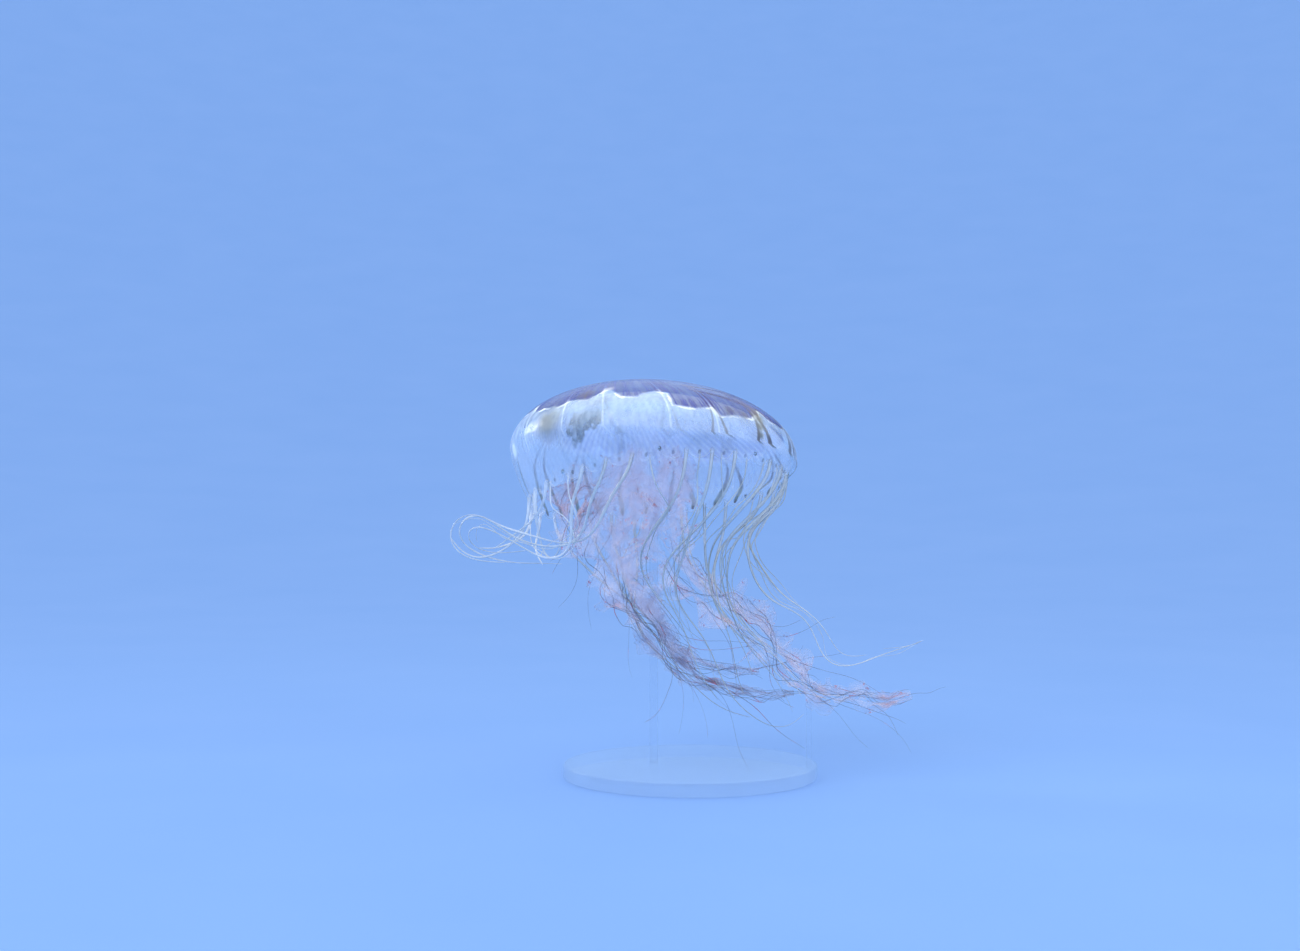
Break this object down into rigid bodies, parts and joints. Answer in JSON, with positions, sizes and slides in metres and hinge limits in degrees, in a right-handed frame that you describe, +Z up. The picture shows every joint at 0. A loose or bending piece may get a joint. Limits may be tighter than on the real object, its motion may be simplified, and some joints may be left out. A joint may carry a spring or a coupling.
{
  "type": "sea nettle jellyfish",
  "caption": "Swimming sea nettle jellyfish with a lobed bell, long thin tentacles and frilled oral arms, held on a round display foot by slim rods.",
  "frame": {"origin": "centre of the display foot's underside, on the table", "axes": "+Z up, +X to the right seen from the front, +Y away from the viewer"},
  "size_m": [0.2856, 0.1689, 0.2367],
  "materials": {
    "bell_jelly": "wet, milky and see-through, with brown rays",
    "arm_flesh": "thin wet pink frills",
    "tentacle_flesh": "wet, cream with olive-brown edges",
    "clear_acrylic": "polished clear acrylic"
  },
  "bodies": {
    "root": {"bell_dome": "bell_jelly", "bell_margin": "bell_jelly", "oral_arm_back_left_1": "arm_flesh", "oral_arm_back_left_2": "arm_flesh", "oral_arm_back_right_1": "arm_flesh", "oral_arm_back_right_2": "arm_flesh", "oral_arm_front_left_1": "arm_flesh", "oral_arm_front_left_2": "arm_flesh", "oral_arm_front_left_3": "arm_flesh", "oral_arm_front_right_1": "arm_flesh", "oral_arm_front_right_2": "arm_flesh", "oral_arm_front_right_3": "arm_flesh", "stand_foot": "clear_acrylic", "stand_rod_arm": "clear_acrylic", "stand_rod_bell": "clear_acrylic", "stomach": "arm_flesh", "tentacle_01_lower": "tentacle_flesh", "tentacle_01_upper": "tentacle_flesh", "tentacle_02_lower": "tentacle_flesh", "tentacle_02_upper": "tentacle_flesh", "tentacle_03_lower": "tentacle_flesh", "tentacle_03_upper": "tentacle_flesh", "tentacle_04_lower": "tentacle_flesh", "tentacle_04_upper": "tentacle_flesh", "tentacle_05_lower": "tentacle_flesh", "tentacle_05_upper": "tentacle_flesh", "tentacle_06_lower": "tentacle_flesh", "tentacle_06_upper": "tentacle_flesh", "tentacle_07_lower": "tentacle_flesh", "tentacle_07_upper": "tentacle_flesh", "tentacle_08_lower": "tentacle_flesh", "tentacle_08_upper": "tentacle_flesh", "tentacle_09_lower": "tentacle_flesh", "tentacle_09_upper": "tentacle_flesh", "tentacle_10": "tentacle_flesh", "tentacle_11": "tentacle_flesh", "tentacle_12": "tentacle_flesh", "tentacle_13": "tentacle_flesh", "tentacle_14": "tentacle_flesh", "tentacle_15": "tentacle_flesh", "tentacle_16_lower": "tentacle_flesh", "tentacle_16_upper": "tentacle_flesh", "tentacle_17_lower": "tentacle_flesh", "tentacle_17_upper": "tentacle_flesh", "tentacle_18_lower": "tentacle_flesh", "tentacle_18_upper": "tentacle_flesh", "tentacle_19_lower": "tentacle_flesh", "tentacle_19_upper": "tentacle_flesh", "tentacle_20_lower": "tentacle_flesh", "tentacle_20_upper": "tentacle_flesh", "tentacle_21_lower": "tentacle_flesh", "tentacle_21_upper": "tentacle_flesh", "tentacle_22_lower": "tentacle_flesh", "tentacle_22_upper": "tentacle_flesh", "tentacle_23_lower": "tentacle_flesh", "tentacle_23_upper": "tentacle_flesh", "tentacle_24_lower": "tentacle_flesh", "tentacle_24_upper": "tentacle_flesh"}
  },
  "joints": []
}
